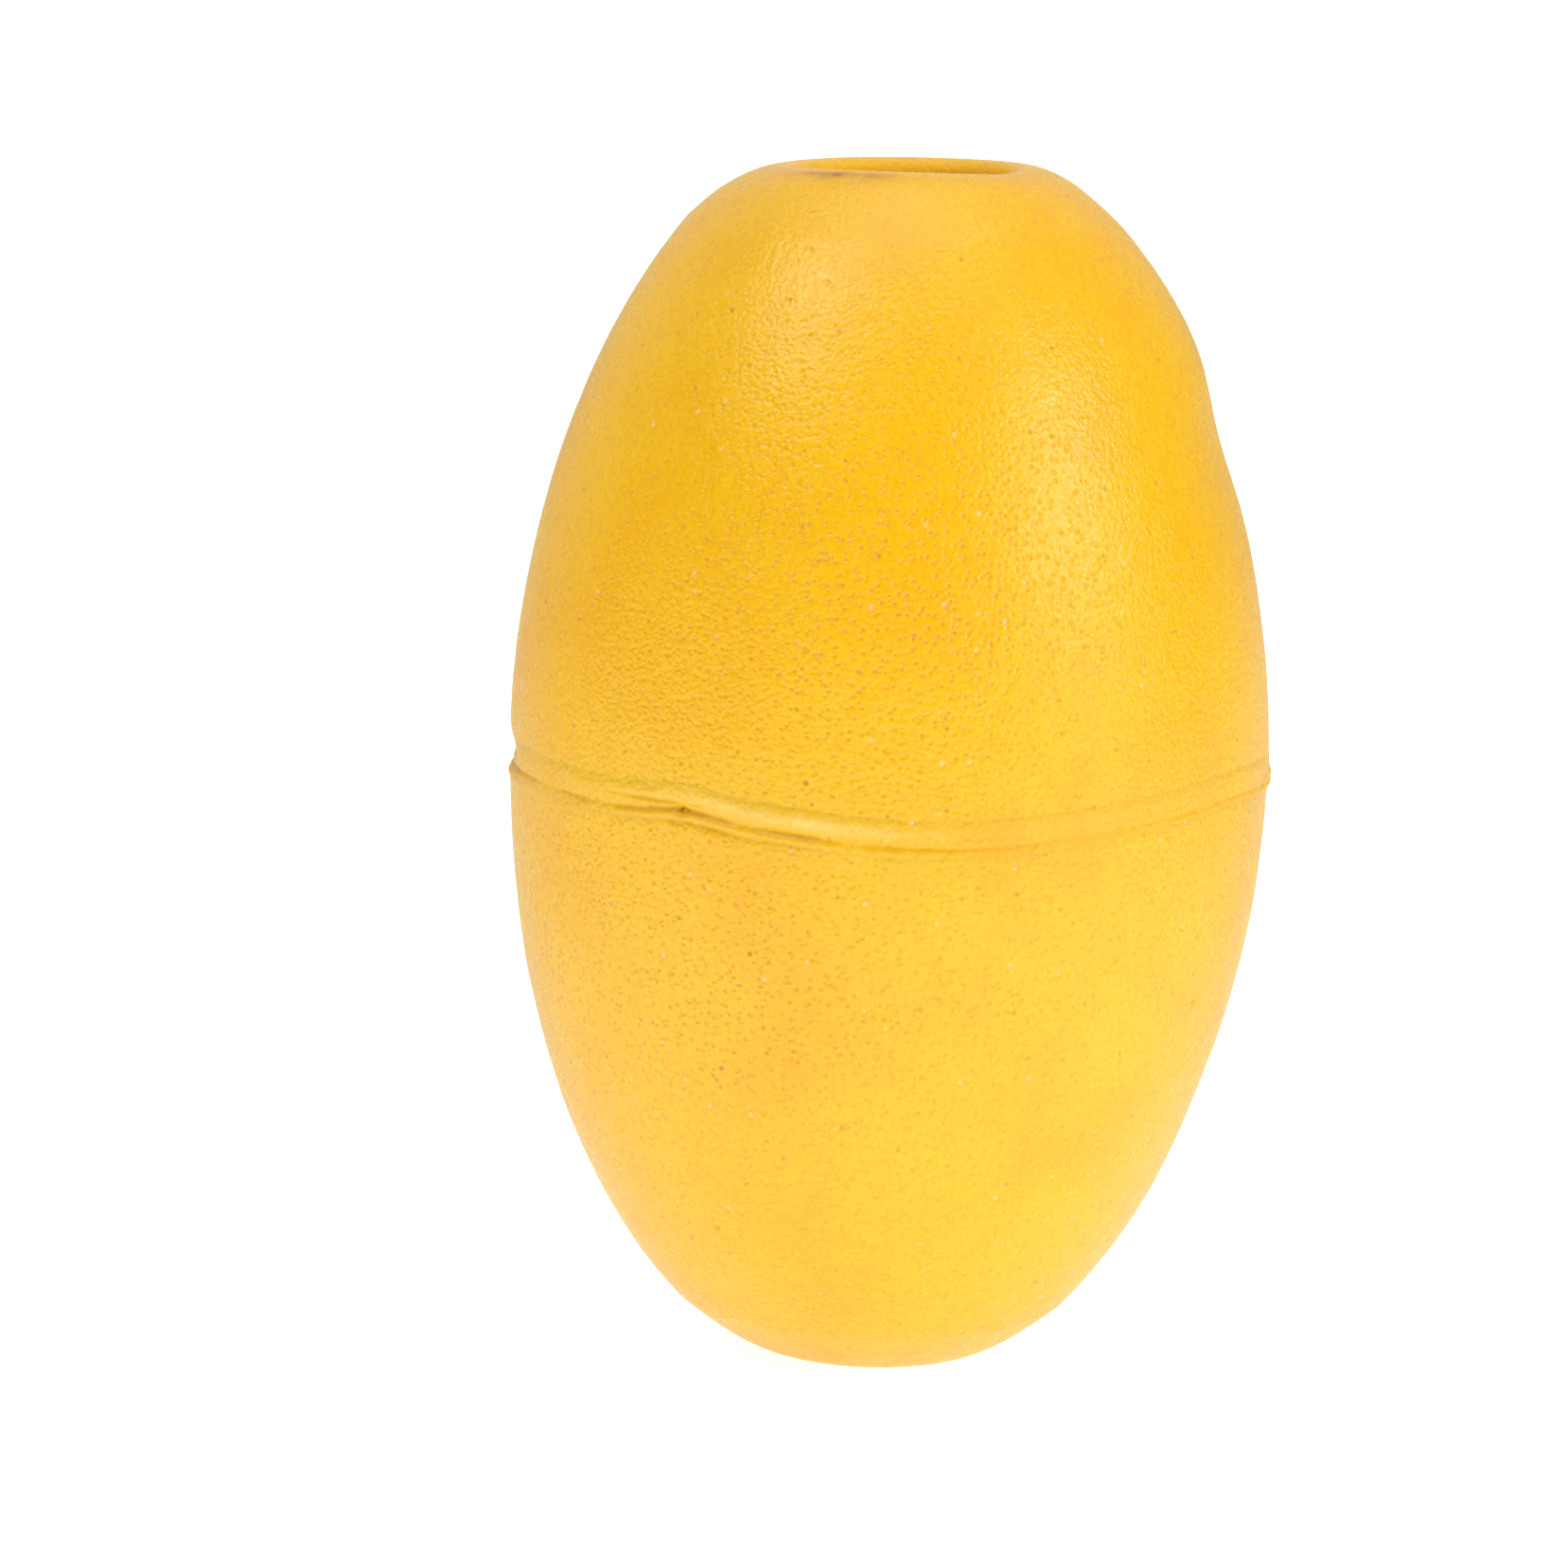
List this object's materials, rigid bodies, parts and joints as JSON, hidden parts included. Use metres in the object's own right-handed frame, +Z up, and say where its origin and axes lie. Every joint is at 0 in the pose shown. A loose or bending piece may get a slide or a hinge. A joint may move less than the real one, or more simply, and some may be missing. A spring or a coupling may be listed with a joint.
{
  "type": "net float",
  "caption": "Egg-shaped float of yellow closed-cell foam: two moulded halves welded at the waist, with a rope bore through both blunt ends.",
  "frame": {"origin": "centre of the lower end face, on the bore's axis", "axes": "+Z up along the bore from the lower end face to the upper one; X and Y are alike, because the float is round"},
  "size_m": [0.0636, 0.0636, 0.1],
  "materials": {
    "foam_skin": "satin closed-cell foam skin with fine pores",
    "weld_skin": "satin, denser and smoother where the foam melted"
  },
  "bodies": {
    "root": {"upper_half": "foam_skin", "lower_half": "foam_skin", "weld_bead": "weld_skin"}
  },
  "joints": []
}
